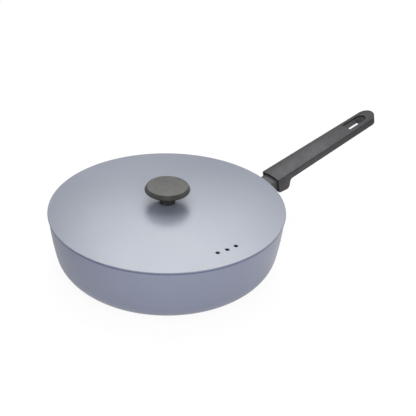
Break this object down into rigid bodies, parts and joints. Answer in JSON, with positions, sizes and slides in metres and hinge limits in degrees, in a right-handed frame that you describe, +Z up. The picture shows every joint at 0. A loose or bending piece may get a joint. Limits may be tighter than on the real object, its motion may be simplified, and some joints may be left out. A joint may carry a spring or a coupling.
{
  "type": "saute pan",
  "caption": "Round-cornered aluminium saute pan with a moulded handle, hanging slot and a lift-off domed lid with steam holes.",
  "frame": {"origin": "centre of the pan's base, on the surface that it stands on", "axes": "+X along the handle, away from the pan; +Z up"},
  "size_m": [0.5034, 0.2872, 0.1107],
  "materials": {
    "pan_paint": "aluminium with satin grey-blue enamel outside and a dark non-stick coating inside",
    "lid_paint": "aluminium with satin grey-blue enamel",
    "base_steel": "brushed in rings",
    "handle_plastic": "fine matt phenolic moulding",
    "knob_plastic": "fine matt phenolic moulding",
    "guard_metal": "dark satin paint",
    "bracket_metal": "cast",
    "screw_steel": "zinc plated",
    "insert_brass": "turned"
  },
  "bodies": {
    "pan": {"pan_body": "pan_paint", "base_disc": "base_steel", "handle_bracket": "bracket_metal", "flame_guard": "guard_metal", "handle_grip": "handle_plastic", "handle_screw": "screw_steel", "lock_washer": "screw_steel"},
    "lid": {"lid_panel": "lid_paint", "lid_ring": "lid_paint", "knob": "knob_plastic", "knob_insert": "insert_brass", "knob_washer": "screw_steel", "knob_screw": "screw_steel"}
  },
  "joints": [
    {"name": "lid_lift", "type": "slide", "parent": "pan", "child": "lid", "axis": [0, 0, 1], "range_m": [0, 0.15]}
  ]
}
